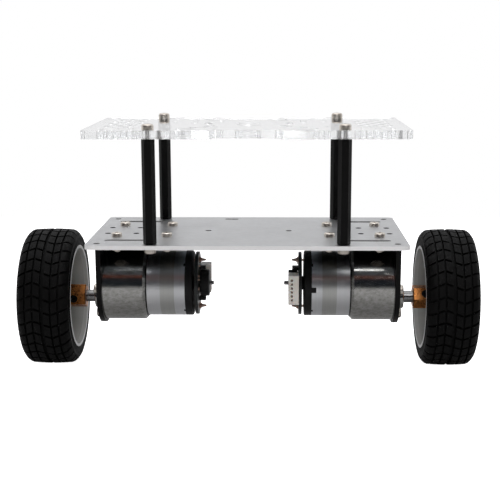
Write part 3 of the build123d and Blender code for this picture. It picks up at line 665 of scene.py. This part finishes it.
def place_tyre(side, sign):
    """Puts one treaded tyre on its wheel in the place of the plain one."""
    tyre = new_piece(f"{side}_tyre_tread", tyre_shape, f"{side}_wheel", "tyre_rubber", 40)
    to_axle = Matrix.Translation((sign * wheel_middle, 0, axle_height))
    half_turn = Matrix.Rotation(math.pi if sign < 0 else 0.0, 4, "Z")
    tyre.data.transform(to_axle @ half_turn)
    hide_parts(f"{side}_tyre")


for side, sign in SIDES.items():
    place_tyre(side, sign)


# ------------------------------------------------------------------ small parts on the encoder boards
# distance towards the front of the right unit, height over the motor's axis and width, in millimetres
CHIPS = ((9.0, 5.5, 0.8), (9.0, 3.6, 0.8), (9.2, -1.0, 1.2), (3.4, 9.6, 0.8))
# body and two end caps of a chip: from and to as shares of its length, and how much thicker it is
CHIP_PARTS = ((-0.36, 0.36, 1.0), (-0.5, -0.33, 1.12), (0.33, 0.5, 1.12))


def chip_shape(centre, size):
    """A small soldered chip: its body with a raised solder fillet at each end."""

    def build(shape):
        for low, high, grow in CHIP_PARTS:
            middle = Vector((0, (low + high) / 2 * size.y, 0))
            scale = Vector((size.x * grow, (high - low) * size.y, size.z * grow))
            made = bmesh.ops.create_cube(shape, size=1.0)["verts"]
            bmesh.ops.scale(shape, vec=scale, verts=made)
            bmesh.ops.translate(shape, vec=centre + middle, verts=made)
        bmesh.ops.bevel(
            shape, geom=list(shape.edges), offset=0.06 * MM, segments=2, profile=0.6, affect="EDGES"
        )

    return build


def board_chips(side, sign):
    """Resistors and a capacitor on the side of the board that faces the middle of the car."""
    face = board_low.x
    for index, (y, up, wide) in enumerate(CHIPS):
        size = Vector((0.55 * MM, wide * 2 * MM, wide * MM))
        centre = Vector((sign * (face - 0.27 * MM), sign * y * MM, motor_height + up * MM))
        chip = new_piece(
            f"{side}_board_chip_{index + 1}", chip_shape(centre, size), "chassis", "tinned_metal"
        )
        chip.data.materials.append(slot_materials["black_plastic"])
        for polygon in chip.data.polygons:
            if abs(polygon.center.y - centre.y) < 0.3 * size.y:
                polygon.material_index = 1


for side, sign in SIDES.items():
    board_chips(side, sign)


# ------------------------------------------------------------------ floor, lights and camera
def studio_floor():
    """Small sheet of white paper that fades into the white background and isn't seen from below."""
    bpy.ops.mesh.primitive_plane_add(size=0.9, location=(0, 0, -0.0002))
    floor = bpy.context.object
    floor.name = "floor"
    surface = Surface("floor_paper", Specular_IOR_Level=0.1)
    seen = surface.node("ShaderNodeLightPath").outputs["Is Camera Ray"]
    paper = surface.ramp(surface.noise(3, 3), (0.3, grey(0.93)), (0.7, grey(0.96)))
    surface.colour(surface.blended(seen, grey(0.60), paper))
    surface.rough(surface.spread(surface.noise(40, 3), 0.6, 0.7))
    surface.shader.inputs["Emission Color"].default_value = (1, 1, 1, 1)
    surface.link(seen, surface.shader.inputs["Emission Strength"])
    from_below = surface.node("ShaderNodeNewGeometry").outputs["Backfacing"]
    surface.link(surface.math("SUBTRACT", 1.0, from_below), surface.shader.inputs["Alpha"])
    dress(floor, surface.material)


def soft_light(name, place, target, size, power):
    """Square soft box that faces its target."""
    light = bpy.data.lights.new(name, "AREA")
    light.size = size
    light.energy = power
    lamp = bpy.data.objects.new(name, light)
    scene.collection.objects.link(lamp)
    lamp.location = place
    lamp.rotation_euler = (Vector(target) - Vector(place)).to_track_quat("-Z", "Y").to_euler()
    return lamp


# what the metal reflects on the camera's side of the room, from the floor up: elevation in degrees, colour
FRONT_ROOM = (
    (-90, (0.26, 0.26, 0.26)),
    (-3, (0.34, 0.34, 0.34)),
    (0, (0.020, 0.024, 0.030)),
    (25, (0.018, 0.022, 0.028)),
    (27, (0.12, 0.042, 0.030)),
    (40, (0.15, 0.062, 0.048)),
    (44, (0.24, 0.24, 0.26)),
    (49, (0.30, 0.30, 0.32)),
    (53, (0.13, 0.15, 0.19)),
    (72, (0.05, 0.055, 0.065)),
    (90, (0.30, 0.30, 0.30)),
)
# the white backdrop behind the car
BACK_ROOM = (
    (-90, (0.20, 0.20, 0.20)),
    (-3, (0.30, 0.30, 0.30)),
    (0, (0.80, 0.80, 0.81)),
    (50, (0.78, 0.78, 0.80)),
    (90, (0.30, 0.30, 0.30)),
)


def room_light():
    """White to the camera and through the clear deck; a dim room in front and a white backdrop behind."""
    world = bpy.data.worlds.new("studio")
    scene.world = world
    world.use_nodes = True
    world.node_tree.nodes.clear()
    sky = Nodes(world.node_tree)
    way = sky.node("ShaderNodeTexCoord").outputs["Generated"]
    height = sky.math("DIVIDE", sky.math("ARCSINE", sky.part(way, "Z")), math.pi)
    elevation = sky.math("ADD", height, 0.5)
    front, back = (
        sky.ramp(elevation, *[((degrees + 90) / 180, colour) for degrees, colour in room])
        for room in (FRONT_ROOM, BACK_ROOM)
    )
    behind = sky.spread(sky.part(way, "Y"), 0.0, 1.0, -0.35, 0.25, "SMOOTHSTEP")
    around = sky.node("ShaderNodeBackground")
    sky.link(sky.blended(behind, front, back), around.inputs["Color"])
    white = sky.node("ShaderNodeBackground")
    white.inputs["Color"].default_value = (1, 1, 1, 1)
    path = sky.node("ShaderNodeLightPath")
    straight = sky.math("MAXIMUM", path.outputs["Is Camera Ray"], path.outputs["Is Transmission Ray"])
    mix = sky.node("ShaderNodeMixShader")
    sky.link(straight, mix.inputs["Fac"])
    sky.link(around.outputs["Background"], mix.inputs[1])
    sky.link(white.outputs["Background"], mix.inputs[2])
    sky.link(mix.outputs["Shader"], sky.node("ShaderNodeOutputWorld").inputs["Surface"])


def studio_light():
    """A broad lamp overhead, a smaller one high in front, and a fill that no metal mirrors."""
    middle = (0, 0, 0.07)
    soft_light("top", (-0.04, 0.05, 1.1), middle, 1.2, 5)
    soft_light("front_high", (0.12, -0.9, 1.0), middle, 0.5, 2.5)
    fill = soft_light("front_fill", (0.0, -1.3, 0.3), middle, 0.8, 6)
    fill.visible_glossy = False


def photo_camera():
    """Nearly level view from the front, a little to the right and above."""
    camera = bpy.data.cameras.new("camera")
    camera.sensor_width = 36.0
    camera.lens = 76.8
    camera.clip_start = 0.01
    holder = bpy.data.objects.new("camera", camera)
    scene.collection.objects.link(holder)
    yaw, pitch, roll = math.radians(1.542), math.radians(11.11), math.radians(-0.166)
    forward = Vector((
        -math.sin(yaw) * math.cos(pitch),
        math.cos(yaw) * math.cos(pitch),
        -math.sin(pitch),
    ))
    holder.location = (0.0149, -0.5312, 0.1639)
    look = forward.to_track_quat("-Z", "Y")
    holder.rotation_euler = (look.to_matrix() @ Matrix.Rotation(roll, 3, "Z")).to_euler()
    scene.camera = holder


studio_floor()
room_light()
studio_light()
photo_camera()
scene.view_settings.view_transform = "Standard"
